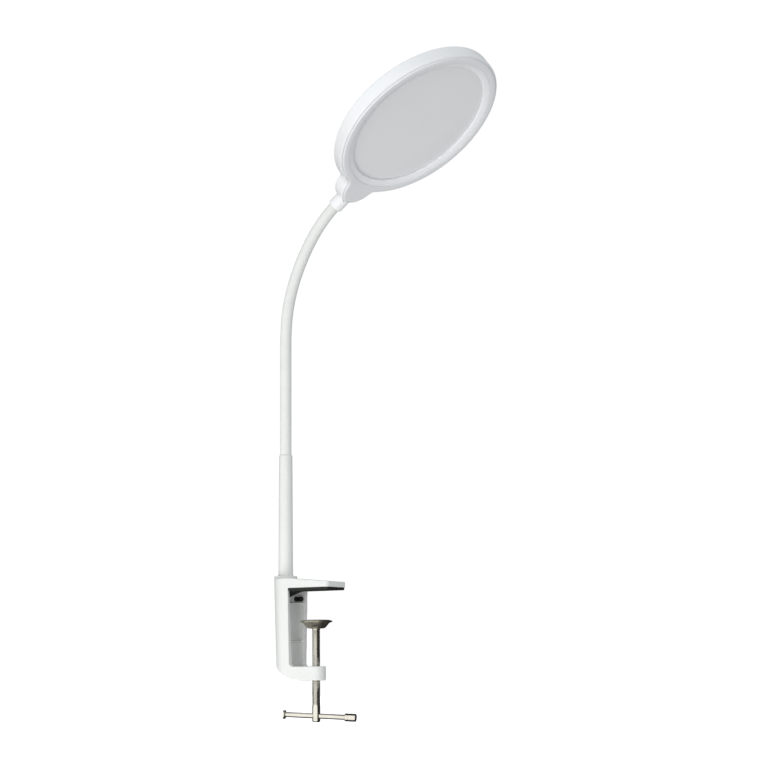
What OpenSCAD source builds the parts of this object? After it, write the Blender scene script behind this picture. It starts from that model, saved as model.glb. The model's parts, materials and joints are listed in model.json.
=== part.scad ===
// Desk-clamp magnifying lamp: a screw clamp, an upright pole, a flexible arm
// and a round lens head with a light ring and a hinged lens cover.
// Millimetres, +Z up. The origin is on the clamp screw's axis, in the face of
// the jaw pad that rests on the desk top. +X runs from the pole to the jaw tip.

/* [Clamp] */
// Distance from the pole's axis to the screw's axis
screw_offset = 36.5; // [34:0.5:40]
// Distance from the pole's axis to the tip of the upper jaw
jaw_reach = 61.5; // [58:0.5:66]
// Half the width of the upper jaw
jaw_half_width = 17.5; // [16:0.5:18]
// Height of the upper jaw's white casting at its root, above the pad
jaw_root_rise = 9.8; // [8:0.2:10]
// Height of the upper jaw's white casting at its tip, above the pad
jaw_tip_rise = 5.4; // [4:0.2:7]
// Thickness of the jaw pad
pad_t = 2.5; // [2:0.1:3]
// Depth of the throat, from the pad's face to the lower jaw
throat_h = 74.2; // [70:0.2:80]
// Thickness of the lower jaw
lower_jaw_t = 13.7; // [12:0.1:15]
// Radius of the lower jaw's round end
lower_jaw_r = 9.5; // [9:0.1:11]
// Outside radius of the spine at its top
spine_r_top = 18; // [17.6:0.1:19]
// Outside radius of the spine at its foot
spine_r_foot = 15.2; // [14.6:0.1:16]
// Wall of the spine
spine_wall = 3.6; // [3:0.1:4]

/* [Screw] */
// Diameter of the clamp screw
screw_d = 8; // [8:0.1:8.4]
// Depth of the screw's cross hole below the pad's face
bar_depth = 122.2; // [120:0.2:126]
// Diameter of the tommy bar
bar_d = 5; // [4.6:0.1:5.2]
// Reach of the tommy bar on its capped side
bar_reach_cap = 40; // [38:0.2:44]
// Reach of the tommy bar on its flanged side
bar_reach_flange = 33.2; // [30:0.2:36]
// Turn of the tommy bar about the screw, from +X
bar_turn = 20; // [0:1:40]
// Lean of the tommy bar and of its hole
bar_lean = 2.8; // [0:0.2:4]
// Diameter of the pressure plate
plate_d = 32.8; // [30:0.2:34]
// Open height between the pad and the pressure plate
open_gap = 29; // [28:0.5:34]

/* [Pole and arm] */
// Height of the pole's top above the pad's face
pole_top = 136.9; // [130:0.1:145]
// Outside diameter of the pole at its foot
pole_d_foot = 14.5; // [14:0.1:15]
// Outside diameter of the pole at its top
pole_d_top = 13.4; // [13.2:0.1:14]
// Outside diameter of the arm's sleeve
sleeve_d = 11.6; // [11.4:0.1:12]
// Distance between two joints of the arm
arm_pitch = 22.8; // [22:0.1:24]
// Bend of the arm at each of its joints, from the pole up
arm_bend = [0, 0, 0, 0, 0, 4.5, 8.5, 8, 6.5, 6.5, 9.2, 10.3]; // [0:0.1:12]

/* [Head] */
// Outside radius of the head
head_r = 91; // [88:0.5:92]
// Thickness of the head
head_t = 15.6; // [15:0.1:16.5]
// Radius of the lens opening
aperture_r = 75.2; // [73:0.1:76]
// Outside radius of the sloped light ring
light_ring_r = 81.4; // [80.5:0.1:82]
// Radius of the round lobe that joins the head to the arm
lobe_r = 22; // [21:0.5:22.5]
// Distance from the head's centre to the lobe's centre
lobe_offset = 88; // [87:0.5:89]
// Length from the lobe's centre to the arm's last joint
neck_reach = 42.3; // [42:0.1:46]

/* [Hidden] */

$fn = 96;
eps = 0.01;

// Colours
casting_white = [0.93, 0.93, 0.91];
plastic_white = [0.94, 0.94, 0.94];
bezel_grey = [0.86, 0.86, 0.87];
rubber_black = [0.10, 0.10, 0.11];
nickel = [0.76, 0.74, 0.68];
dark_steel = [0.34, 0.34, 0.30];
board_green = [0.13, 0.36, 0.20];

// Clamp
pole_x = -screw_offset;
spine_x = pole_x + 7.9;
throat_x = pole_x + 14.5;
jaw_tip_x = pole_x + jaw_reach;
jaw_corner_r = 4.5;
jaw_overlap = 1;
edge_step = 0.03;
pad_inset = 0.5;
spine_top_z = pad_t + jaw_root_rise;
foot_z = -throat_h - lower_jaw_t;
spine_h = spine_top_z - foot_z;
inner_r_top = spine_r_top - spine_wall;
inner_r_foot = 9.6;
cheek_start = 1.4;
throat_fillet_r = 5.6;
throat_fillet_mid = 5.2;
boss_r = 11.5;
boss_h = 2.75;
heel_r = 58;
heel_x = pole_x + 34;
heel_drop = 0.4;
rib_z = [-12, -50];
rib_t = 1.4;
rib_reach = 3;
pad_lip_r = 26.6;
pad_lip_back_x = pole_x - 4.6;
slot_x = pole_x + 6.8;
slot_z = -7.4;
slot_len = 9.4;
slot_h = 3.6;
slot_flat = 0.02;
grommet_bore_r = 1.5;
grommet_flange = 0.9;
grommet_lip = 0.5;
grommet_gap = 0.05;

// Pole fixing
stud_r = 5;
stud_bore_r = 2.5;
stud_low_z = 3.2;
stud_high_z = 34;
nut_af = 13.5;
nut_t = 3.4;
washer_t = 1.2;
washer_r = 7.8;
recess_r = 8.2;
recess_z = 8.5;

// Screw, swivel foot and tommy bar
screw_r = screw_d / 2;
running_gap = 0.06;
screw_low_z = -128.2;
screw_tip_r = 2.2;
ball_r = 3.4;
ball_z = -open_gap - 5;
neck_r = 2.3;
shank_top_z = ball_z - 2.7;
seat_r = 5.6;
seat_half_h = 2.2;
plate_top_z = -open_gap;
plate_r = plate_d / 2;
hub_r = 9.2;
hub_low_z = ball_z - 3.3;
socket_ceiling = 3.8;
bar_z = -bar_depth;
bar_r = bar_d / 2;
cap_r = 3.85;
cap_len = 11.2;
flange_r = 4.4;
flange_t = 1.8;

// Arm joints: a ball on each link turns in a cup on the next
arm_joints = len(arm_bend);
arm_foot_z = pole_top + 9.1;
arm_ball_r = 3.6;
arm_cup_gap = 0.06;
arm_core_r = 4.8;
arm_stem_r = 2.2;
arm_bore_r = 1.2;
cup_rim = 1.1;
shoulder = 3.6;
sleeve_r = sleeve_d / 2;
sleeve_gap = 0.05;
plug_r = 4.95;
plug_low_z = pole_top - 17;

// Head, seen from the front face (z = 0) to the back (z = head_t)
mid_z = head_t / 2;
lobe_fillet_r = 8;
shell_wall = 2.1;
shell_front_z = 1.4;
shell_corner_r = 2;
back_t = 2;
bezel_inset = 2.8;
bezel_t = 2.4;
bezel_rim_inset = 2.2;
bezel_rim_z = 5.4;
bezel_rim_wall = 1.6;
cone_depth = 2.7;
lens_seat_z = 4.8;
lens_r = 76.5;
lens_edge_z = 4.9;
lens_edge_t = 2.2;
lens_front_sag = 1.6;
lens_back_sag = 10.5;
lens_well_r = 77.4;
lens_well_wall = 1.8;
board_z = 5.6;
board_t = 1.6;
board_in_r = 79.8;
board_out_r = 87.4;
chip_count = 48;
chip_r = 81.8;
chip = [2.8, 3.4, 0.9];
post_angles = [22, 68, 112, 158, 202, 248, 292, 338];
post_r = 2;
post_circle_r = 84.6;
screw_head_r = 2;
ferrule_r = 7.6;
ferrule_end = 34;
ferrule_core = 25;
spigot_r = 4;
spigot_end = 14;
nut_ring_r = 5;
driver_size = [13, 22, 1.4];
driver_x = -lobe_offset - 7.2;
driver_z = 6;
button_x = -lobe_offset - 8;
button_r = 5;
button_rise = 1.4;
button_travel = 1;
button_gap = 0.35;
switch_h = 2.4;
plunger_h = 0.6;
plunger_r = 1.6;
button_flange_r = 5.9;
button_flange_t = 0.4;
cover_r = 81;
cover_low_z = head_t + 0.2;
cover_rim_h = 1.2;
cover_dome_h = 4.5;
cover_t = 1.8;
hinge_x = -84.6;
hinge_z = head_t + 2.95;
hinge_pin_r = 1;
knuckle_r = 2.6;
knuckle_half = 9;
lug_gap = 0.35;
lug_w = 4;

// Radius of a sphere that rises by sag over a circle of radius r
function cap_sphere_r(r, sag) = (r * r + sag * sag) / (2 * sag);

// Radius of the spine's outside at a height
function spine_r(z) = spine_r_foot + (spine_r_top - spine_r_foot) * (z - foot_z) / spine_h;

// Sum of the first n bends of the arm
function bend_sum(n) = n == 0 ? 0 : arm_bend[n - 1] + bend_sum(n - 1);

// Direction of link k, as an angle above the horizontal
function link_angle(k) = 90 - bend_sum(k);

// Place of joint k, counted from 1 at the pole
function arm_joint(k) =
    k == 1
    ? [pole_x, 0, arm_foot_z]
    : arm_joint(k - 1) + arm_pitch * [cos(link_angle(k - 1)), 0, sin(link_angle(k - 1))];

head_pitch = link_angle(arm_joints);
head_reach = neck_reach + lobe_offset;
head_centre =
    arm_joint(arm_joints)
    + head_reach * [cos(head_pitch), 0, sin(head_pitch)]
    - mid_z * [-sin(head_pitch), 0, cos(head_pitch)];

// Puts link k's own frame (z along the link) on its lower joint
module on_link(k) {
    translate(arm_joint(k)) rotate([0, 90 - link_angle(k), 0]) children();
}

// Puts the head's own frame in place: +x away from the arm, +z out of the back
module on_head() {
    translate(head_centre) rotate([0, -head_pitch, 0]) children();
}

// Puts a shape drawn about +z on the line from the lobe's centre to the arm
module on_neck() {
    translate([-lobe_offset, 0, mid_z]) rotate([0, -90, 0]) children();
}

// A profile drawn as [x, z], extruded to both sides of y = 0
module along_y(half_width) {
    rotate([90, 0, 0]) linear_extrude(2 * half_width, center = true) children();
}

// Half-round tapered column with a flat front, of radius r_low to r_high
module column(r_low, r_high, low_z, high_z) {
    h = high_z - low_z;
    wide = 4 * r_high;
    half_low = sqrt(r_low * r_low - cheek_start * cheek_start);
    half_high = sqrt(r_high * r_high - cheek_start * cheek_start);
    difference() {
        translate([spine_x, 0, low_z]) cylinder(h = h, r1 = r_low, r2 = r_high);
        translate([spine_x + 2 * cheek_start, -wide / 2, low_z - 1]) cube([wide, wide, h + 2]);
    }
    translate([spine_x, 0, 0])
        rotate([90, 0, 90])
            linear_extrude(throat_x - spine_x)
                polygon([
                    [-half_low, low_z],
                    [half_low, low_z],
                    [half_high, high_z],
                    [-half_high, high_z]
                ]);
}

// Hollow of the spine, set in by a clearance
module spine_hollow(inset = 0) {
    column(inner_r_foot - inset, inner_r_top - inset, -throat_h, pad_t + eps);
}

// Plan of the upper jaw from root to tip, with rounded tip corners
module jaw_plan(inset, root) {
    half = jaw_half_width - inset;
    tip = jaw_tip_x - inset;
    r = jaw_corner_r;
    translate([root, -half + edge_step]) square([tip - r - root, 2 * (half - edge_step)]);
    translate([tip - 2 * r, -half + r]) square([2 * r - edge_step, 2 * (half - r)]);
    for (side = [-1, 1]) translate([tip - r, side * (half - r)]) circle(r);
}

module upper_jaw() {
    intersection() {
        linear_extrude(spine_top_z + 1) jaw_plan(0, throat_x - jaw_overlap);
        along_y(jaw_half_width + 1)
            polygon([
                [throat_x - jaw_overlap, pad_t],
                [jaw_tip_x + 1, pad_t],
                [jaw_tip_x + 1, pad_t + jaw_tip_rise],
                [throat_x, spine_top_z],
                [throat_x - jaw_overlap, spine_top_z]
            ]);
    }
}

module lower_jaw() {
    root_half = spine_r(-throat_h);
    dx = -throat_x;
    tilt = asin((root_half - lower_jaw_r) / dx);
    reach = lower_jaw_r - edge_step;
    touch = [reach * sin(tilt), reach * cos(tilt)];
    translate([0, 0, foot_z]) linear_extrude(lower_jaw_t) {
        circle(lower_jaw_r);
        polygon([
            [throat_x - jaw_overlap, -root_half + edge_step],
            [touch[0], -touch[1]],
            [touch[0], touch[1]],
            [throat_x - jaw_overlap, root_half - edge_step]
        ]);
    }
}

// Concave fillet where the spine's front edges run into the lower jaw
module throat_fillet() {
    r = throat_fillet_r;
    mid = throat_fillet_mid;
    half = spine_r(-throat_h) - 0.6;
    difference() {
        translate([throat_x - 1, -half, -throat_h - 1]) cube([mid + 1, 2 * half, mid + 1]);
        translate([throat_x + mid, 0, -throat_h + mid])
            rotate([90, 0, 0]) cylinder(h = 2 * half + 2, r = r, center = true);
        translate([throat_x - 2, -inner_r_foot, -throat_h]) cube([mid + 3, 2 * inner_r_foot, mid + 1]);
    }
}

// Curved heel under the spine: everything outside the arc is taken away
module heel_cut() {
    far = 60;
    difference() {
        along_y(far / 2)
            polygon([
                [heel_x, foot_z - 10],
                [heel_x - far, foot_z - 10],
                [heel_x - far, foot_z + 24],
                [pole_x + 4, foot_z + 24],
                [heel_x, foot_z + heel_r / 2]
            ]);
        translate([heel_x, 0, foot_z + heel_r - heel_drop])
            rotate([90, 0, 0]) cylinder(h = far + 2, r = heel_r, center = true, $fn = 180);
    }
}

module cable_slot(grow = 0) {
    half = slot_len / 2 - slot_h / 2;
    translate([slot_x, spine_r_top, slot_z]) rotate([90, 0, 0]) {
        for (side = [-1, 1])
            translate([side * half, 0, 0]) cylinder(h = 16, r = slot_h / 2 + grow, center = true);
        cube([2 * half, slot_h + 2 * (grow - slot_flat), 16], center = true);
    }
}

// Clamp casting: spine, two jaws, boss for the pole and inner ribs
module clamp_body() {
    color(casting_white) {
        difference() {
            union() {
                column(spine_r_foot, spine_r_top, foot_z, spine_top_z);
                upper_jaw();
                lower_jaw();
                throat_fillet();
                translate([pole_x, 0, spine_top_z - eps]) cylinder(h = boss_h + eps, r = boss_r);
            }
            spine_hollow();
            heel_cut();
            translate([0, 0, foot_z - 1]) cylinder(h = lower_jaw_t + 2, r = screw_r + running_gap);
            translate([pole_x, 0, 0]) {
                cylinder(h = spine_top_z + boss_h + 1, r = stud_r + running_gap);
                cylinder(h = recess_z, r = recess_r);
            }
            cable_slot();
        }
        for (z = rib_z) spine_rib(z);
    }
}

// Thin level web across the spine's back and sides
module spine_rib(z) {
    intersection() {
        difference() {
            spine_hollow(-1);
            spine_hollow(rib_reach);
        }
        translate([pole_x - 20, -30, z]) cube([throat_x - pole_x + 18, 60, rib_t]);
    }
}

// Black pad under the upper jaw, with a curved lip inside the spine
module jaw_pad() {
    color(rubber_black) {
        linear_extrude(pad_t) jaw_plan(pad_inset, throat_x);
        difference() {
            intersection() {
                spine_hollow(0.1);
                difference() {
                    along_y(30)
                        polygon([
                            [pad_lip_back_x, pad_t],
                            [pad_lip_back_x, -pad_lip_r],
                            [throat_x + eps, -pad_lip_r],
                            [throat_x + eps, pad_t]
                        ]);
                    translate([throat_x + eps, 0, -pad_lip_r])
                        rotate([90, 0, 0]) cylinder(h = 62, r = pad_lip_r, center = true, $fn = 180);
                }
            }
            translate([pole_x, 0, -20]) cylinder(h = 30, r = stud_bore_r + 1);
        }
    }
}

// Rubber grommet in the slot where the lead leaves the spine. Its lips follow the wall.
module cable_grommet() {
    outer_y = spine_r(slot_z) + grommet_flange;
    span = 2 * grommet_flange + spine_wall + 0.9;
    color(rubber_black)
        difference() {
            intersection() {
                union() {
                    cable_slot(-grommet_gap);
                    intersection() {
                        cable_slot(grommet_lip);
                        spine_hollow(grommet_gap);
                    }
                    difference() {
                        cable_slot(grommet_lip);
                        column(spine_r_foot + grommet_gap, spine_r_top + grommet_gap, foot_z, spine_top_z);
                    }
                }
                translate([slot_x - 20, outer_y - span, slot_z - 20]) cube([40, span, 40]);
            }
            translate([slot_x, outer_y, slot_z])
                rotate([90, 0, 0]) cylinder(h = 30, r = grommet_bore_r, center = true);
        }
}

// Tapered pole with a small bead at its foot and a rounded top
module pole_tube() {
    foot_z_pole = spine_top_z + boss_h;
    r_foot = pole_d_foot / 2;
    r_top = pole_d_top / 2;
    edge = 0.8;
    color(casting_white)
        translate([pole_x, 0, 0])
            rotate_extrude()
                polygon([
                    [stud_r + running_gap / 2, foot_z_pole],
                    [r_foot + 0.4, foot_z_pole],
                    [r_foot + 0.4, foot_z_pole + 1],
                    [r_foot, foot_z_pole + 1.5],
                    [r_top, pole_top - edge],
                    [r_top - edge, pole_top],
                    [stud_r + running_gap / 2, pole_top]
                ]);
}

// Hollow stud that holds the pole on the casting
module pole_stud() {
    color(nickel)
        translate([pole_x, 0, stud_low_z])
            difference() {
                cylinder(h = stud_high_z - stud_low_z, r = stud_r);
                translate([0, 0, -1]) cylinder(h = stud_high_z, r = stud_bore_r);
            }
}

module pole_washer() {
    color(nickel)
        translate([pole_x, 0, recess_z - washer_t])
            difference() {
                cylinder(h = washer_t, r = washer_r);
                translate([0, 0, -1]) cylinder(h = washer_t + 2, r = stud_r + running_gap);
            }
}

module pole_nut() {
    color(nickel)
        translate([pole_x, 0, recess_z - washer_t - nut_t])
            difference() {
                cylinder(h = nut_t, r = nut_af / sqrt(3), $fn = 6);
                translate([0, 0, -1]) cylinder(h = nut_t + 2, r = stud_r + running_gap / 2);
            }
}

// Nylon seat between the screw's ball and the pressure plate
module swivel_ring() {
    color("ivory")
        translate([0, 0, ball_z])
            difference() {
                intersection() {
                    sphere(seat_r);
                    cube([4 * seat_r, 4 * seat_r, 2 * seat_half_h], center = true);
                }
                sphere(ball_r + running_gap);
            }
}

// Dished plate that presses on the underside of the desk
module pressure_plate() {
    color(dark_steel)
        difference() {
            rotate_extrude()
                polygon([
                    [0, plate_top_z],
                    [plate_r - 3.4, plate_top_z],
                    [plate_r - 0.6, plate_top_z - 0.8],
                    [plate_r, plate_top_z - 1.4],
                    [plate_r - 0.5, plate_top_z - 2],
                    [plate_r - 2.6, plate_top_z - 3.2],
                    [hub_r + 1.6, plate_top_z - 5.4],
                    [hub_r, plate_top_z - 7.2],
                    [hub_r - 0.7, hub_low_z],
                    [0, hub_low_z]
                ]);
            translate([0, 0, ball_z])
                intersection() {
                    sphere(seat_r + running_gap);
                    translate([-10, -10, -10]) cube([20, 20, 10 + socket_ceiling]);
                }
        }
}

// Frame of the tommy bar: its own axis along z, middle on the screw's axis
module on_bar() {
    translate([0, 0, bar_z]) rotate([0, 0, bar_turn]) rotate([0, 90 + bar_lean, 0]) children();
}

// Screw with a ball at its top and a cross hole for the bar
module clamp_screw() {
    color(nickel)
        difference() {
            union() {
                rotate_extrude()
                    polygon([
                        [0, screw_low_z],
                        [screw_r - screw_tip_r, screw_low_z],
                        [screw_r - 0.5, screw_low_z + 0.8],
                        [screw_r, screw_low_z + screw_tip_r],
                        [screw_r, shank_top_z - 0.4],
                        [screw_r - 0.4, shank_top_z],
                        [neck_r, shank_top_z],
                        [neck_r, ball_z],
                        [0, ball_z]
                    ]);
                translate([0, 0, ball_z]) sphere(ball_r);
            }
            on_bar() cylinder(h = 4 * screw_d, r = bar_r + running_gap, center = true);
        }
}

module tommy_bar() {
    color(nickel)
        on_bar()
            rotate_extrude()
                polygon([
                    [0, -bar_reach_flange],
                    [flange_r - 0.4, -bar_reach_flange],
                    [flange_r, -bar_reach_flange + 0.4],
                    [flange_r, -bar_reach_flange + flange_t - 0.4],
                    [bar_r + 0.6, -bar_reach_flange + flange_t],
                    [bar_r, -bar_reach_flange + flange_t + 0.6],
                    [bar_r, bar_reach_cap - 3],
                    [0, bar_reach_cap - 3]
                ]);
}

// Cap pressed on the bar's other end
module tommy_bar_cap() {
    color(nickel)
        on_bar()
            rotate_extrude()
                polygon([
                    [bar_r, bar_reach_cap - cap_len],
                    [cap_r - 0.8, bar_reach_cap - cap_len],
                    [cap_r, bar_reach_cap - cap_len + 0.8],
                    [cap_r, bar_reach_cap - 0.7],
                    [cap_r - 0.7, bar_reach_cap],
                    [0, bar_reach_cap],
                    [0, bar_reach_cap - 3],
                    [bar_r, bar_reach_cap - 3]
                ]);
}

// Upper end of a link: stem and hollow ball at height z
module link_ball(z) {
    translate([0, 0, z - shoulder - eps]) cylinder(h = shoulder, r = arm_stem_r);
    translate([0, 0, z]) sphere(arm_ball_r);
}

// Lower end of a link: cup around the joint at z = 0, and body up to height h
module link_cup(h) {
    difference() {
        translate([0, 0, -cup_rim]) cylinder(h = h + cup_rim, r = arm_core_r);
        sphere(arm_ball_r + arm_cup_gap);
    }
}

// One steel link of the arm, with a bore for the lead
module arm_link(k) {
    color(dark_steel)
        on_link(k)
            difference() {
                union() {
                    link_cup(arm_pitch - shoulder);
                    link_ball(arm_pitch);
                }
                cylinder(h = 3 * arm_pitch, r = arm_bore_r, center = true);
            }
}

// A length of the arm's soft sleeve, drawn along z
module sleeve_tube(low_z, high_z) {
    translate([0, 0, low_z])
        difference() {
            cylinder(h = high_z - low_z, r = sleeve_r);
            translate([0, 0, -1]) cylinder(h = high_z - low_z + 2, r = arm_core_r + sleeve_gap);
        }
}

module sleeve(k) {
    color(casting_white) on_link(k) sleeve_tube(-cup_rim, arm_pitch - shoulder);
}

// Plug in the pole's top that carries the arm's first ball
module arm_base() {
    color(dark_steel)
        translate([pole_x, 0, 0])
            difference() {
                union() {
                    translate([0, 0, plug_low_z]) cylinder(h = pole_top - plug_low_z, r = plug_r);
                    translate([0, 0, pole_top - eps])
                        cylinder(h = arm_foot_z - shoulder - pole_top + eps, r = arm_core_r);
                    link_ball(arm_foot_z);
                }
                translate([0, 0, plug_low_z - 1]) cylinder(h = 60, r = arm_bore_r);
            }
}

module sleeve_base() {
    color(casting_white)
        translate([pole_x, 0, 0]) sleeve_tube(pole_top, arm_foot_z - shoulder);
}

// Last cup of the arm, whose stem is held in the ferrule
module arm_end() {
    color(dark_steel)
        on_link(arm_joints)
            difference() {
                link_cup(neck_reach - ferrule_core);
                cylinder(h = 3 * neck_reach, r = arm_bore_r, center = true);
            }
}

module sleeve_end() {
    color(casting_white) on_link(arm_joints) sleeve_tube(-cup_rim, neck_reach - ferrule_end - 0.05);
}

// Collar between the arm and the lobe, with a hollow spigot through the lobe's wall
module neck_ferrule() {
    edge = 0.6;
    color(plastic_white)
        on_head()
            difference() {
                union() {
                    difference() {
                        on_neck()
                            rotate_extrude()
                                polygon([
                                    [0, lobe_r - 6],
                                    [ferrule_r, lobe_r - 6],
                                    [ferrule_r, ferrule_end - edge],
                                    [ferrule_r - edge, ferrule_end],
                                    [0, ferrule_end]
                                ]);
                        translate([-lobe_offset, 0, -1]) cylinder(h = head_t + 2, r = lobe_r + 0.02);
                    }
                    on_neck()
                        translate([0, 0, spigot_end]) cylinder(h = lobe_r - spigot_end + 1, r = spigot_r);
                }
                on_neck() {
                    translate([0, 0, ferrule_core]) cylinder(h = 30, r = arm_core_r + running_gap);
                    cylinder(h = 60, r = arm_bore_r + 0.6);
                }
            }
}

// Round nut on the ferrule's spigot, inside the lobe
module ferrule_nut() {
    wall_r = lobe_r - shell_wall;
    high = sqrt(wall_r * wall_r - nut_ring_r * nut_ring_r) - 0.05;
    color(nickel)
        on_head() on_neck()
            translate([0, 0, high - 3])
                difference() {
                    cylinder(h = 3, r = nut_ring_r);
                    translate([0, 0, -1]) cylinder(h = 5, r = spigot_r + running_gap / 2);
                }
}

// Keyhole plan of the head, set in all round: ring, lobe and the two fillets between them
module head_plan(inset = 0) {
    big = head_r - inset;
    small = lobe_r - inset;
    fillet = lobe_fillet_r + inset;
    a = big + fillet;
    b = small + fillet;
    cx = (lobe_offset * lobe_offset + a * a - b * b) / (2 * lobe_offset);
    cy = sqrt(a * a - cx * cx);
    circle(big, $fn = 240);
    translate([-lobe_offset, 0]) circle(small);
    difference() {
        polygon([[0, 0], [-cx, cy], [-lobe_offset, 0], [-cx, -cy]]);
        for (side = [-1, 1]) translate([-cx, side * cy]) circle(fillet);
    }
}

// Section of a rounded disc of radius r between the shell's front and its back
module disc_section(r) {
    c = shell_corner_r;
    translate([0, shell_front_z]) square([r - c, head_t - shell_front_z]);
    translate([r - c - eps, shell_front_z + c]) square([c + eps, head_t - shell_front_z - 2 * c]);
    for (z = [shell_front_z + c, head_t - c]) translate([r - c, z]) circle(c, $fn = 48);
}

// Outside of the rear shell, with rounded front and back corners
module shell_block() {
    patch_z = shell_front_z + 0.5;
    rotate_extrude($fn = 240)
        intersection() {
            disc_section(head_r);
            square([head_r + 1, head_t + 1]);
        }
    translate([-lobe_offset, 0, 0])
        rotate_extrude()
            intersection() {
                disc_section(lobe_r);
                square([lobe_r + 1, head_t + 1]);
            }
    translate([0, 0, patch_z])
        linear_extrude(head_t - patch_z - 0.5)
            difference() {
                head_plan();
                circle(head_r - shell_corner_r);
            }
}

module screw_places() {
    for (a = post_angles) rotate([0, 0, a]) translate([post_circle_r, 0, 0]) children();
}

// Rear shell of the head: outer wall, back, lens well and the cover's hinge lugs
module rear_shell() {
    floor_z = head_t - back_t;
    well_z = board_z + board_t + 0.2;
    color(plastic_white)
        on_head() {
            difference() {
                shell_block();
                difference() {
                    translate([0, 0, -1]) linear_extrude(floor_z + 1) head_plan(shell_wall);
                    translate([0, 0, well_z]) cylinder(h = head_t, r = lens_well_r + lens_well_wall);
                }
                translate([0, 0, -1]) cylinder(h = head_t + 2, r = lens_well_r, $fn = 180);
                screw_places() {
                    translate([0, 0, floor_z - 1]) cylinder(h = 4, r = 1.1, $fn = 32);
                    translate([0, 0, head_t - 1.3]) cylinder(h = 2, r = screw_head_r + 0.15, $fn = 48);
                }
                on_neck() cylinder(h = 60, r = spigot_r + running_gap);
                translate([button_x, 0, floor_z - 1]) cylinder(h = 4, r = button_r + button_gap);
            }
            hinge_lugs();
        }
}

module hinge_lugs() {
    inner = knuckle_half + lug_gap;
    for (side = [-1, 1])
        translate([hinge_x, side * (inner + lug_w / 2), 0])
            rotate([90, 0, 0])
                difference() {
                    union() {
                        translate([0, hinge_z, 0]) cylinder(h = lug_w, r = knuckle_r, center = true);
                        translate([-knuckle_r, head_t - 0.5, -lug_w / 2])
                            cube([2 * knuckle_r, hinge_z - head_t + 0.5, lug_w]);
                    }
                    translate([0, hinge_z, 0])
                        cylinder(h = lug_w + 1, r = hinge_pin_r + 0.03, center = true, $fn = 48);
                }
}

// Front bezel: flat lip and lobe face, an outer rim and the screw posts behind them
module front_bezel() {
    post_h = head_t - back_t - bezel_t - 0.2;
    color(bezel_grey)
        on_head() {
            difference() {
                union() {
                    translate([0, 0, 0.4]) linear_extrude(bezel_t - 0.4) head_plan(bezel_inset);
                    linear_extrude(0.4 + eps) head_plan(bezel_inset + 0.35);
                    translate([0, 0, bezel_t - eps])
                        linear_extrude(bezel_rim_z - bezel_t)
                            difference() {
                                head_plan(bezel_rim_inset);
                                head_plan(bezel_rim_inset + bezel_rim_wall);
                            }
                }
                translate([0, 0, -1]) cylinder(h = 10, r = light_ring_r + 0.1, $fn = 240);
                on_neck() translate([0, 0, spigot_end]) cylinder(h = lobe_r, r = nut_ring_r + 0.35);
            }
            difference() {
                screw_places() translate([0, 0, bezel_t - eps]) cylinder(h = post_h, r = post_r);
                screw_places() translate([0, 0, bezel_t + 2]) cylinder(h = 20, r = 0.85, $fn = 32);
            }
        }
}

// Sloped translucent ring that spreads the light, and seats the lens
module light_diffuser() {
    color([0.97, 0.97, 0.96])
        on_head()
            rotate_extrude($fn = 240)
                polygon([
                    [light_ring_r, 0.25],
                    [light_ring_r, bezel_t + 0.1],
                    [light_ring_r + 1.2, bezel_t + 0.1],
                    [light_ring_r + 1.2, bezel_t + 0.9],
                    [light_ring_r - 0.4, bezel_t + 0.9],
                    [lens_r + 0.6, lens_seat_z],
                    [aperture_r, lens_seat_z],
                    [aperture_r, cone_depth + 0.3],
                    [aperture_r + 0.3, cone_depth]
                ]);
}

module led_board() {
    color("white")
        on_head()
            difference() {
                translate([0, 0, board_z]) cylinder(h = board_t, r = board_out_r, $fn = 180);
                translate([0, 0, board_z - 1]) cylinder(h = board_t + 2, r = board_in_r, $fn = 180);
                screw_places()
                    translate([0, 0, board_z - 1]) cylinder(h = board_t + 2, r = post_r + 0.2);
            }
}

module led_chips() {
    color([0.96, 0.90, 0.55])
        on_head()
            for (i = [0 : chip_count - 1])
                rotate([0, 0, (i + 0.5) * 360 / chip_count])
                    translate([chip_r - chip[0] / 2, -chip[1] / 2, board_z - chip[2]]) cube(chip);
}

// Points of a shallow dome's section, from the axis out to radius r
function dome_points(r, sag, steps, base_z, up) =
    let (ball = cap_sphere_r(r, sag))
    [for (i = [0 : steps])
        let (x = r * i / steps)
        [x, base_z + up * (sag - ball + sqrt(ball * ball - x * x))]];

// Magnifying lens: a gently curved front and a deeper curved back
module lens() {
    front = dome_points(lens_r, lens_front_sag, 8, lens_edge_z, -1);
    back = dome_points(lens_r, lens_back_sag, 24, lens_edge_z + lens_edge_t, 1);
    back_inward = [for (i = [len(back) - 1 : -1 : 0]) back[i]];
    color([0.85, 0.93, 0.95, 0.5])
        on_head() rotate_extrude($fn = 180) polygon(concat(front, back_inward));
}

// Rubber ring between the lens and its retaining ring
module lens_gasket() {
    low = lens_edge_z + lens_edge_t + 0.75;
    color(rubber_black)
        on_head()
            translate([0, 0, low])
                difference() {
                    cylinder(h = 0.8, r = lens_r + 0.6, $fn = 180);
                    translate([0, 0, -1]) cylinder(h = 3, r = lens_r - 1.8, $fn = 180);
                }
}

// Snap ring that holds the lens in its well from behind
module lens_ring() {
    low = lens_edge_z + lens_edge_t + 1.55;
    color(plastic_white)
        on_head()
            translate([0, 0, low])
                difference() {
                    cylinder(h = head_t - low - 0.6, r = lens_well_r - 0.05, $fn = 180);
                    translate([0, 0, -1]) cylinder(h = 20, r = lens_r - 1.5, $fn = 180);
                }
}

module driver_board() {
    color(board_green)
        on_head()
            translate([driver_x, 0, driver_z + driver_size[2] / 2]) cube(driver_size, center = true);
}

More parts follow.
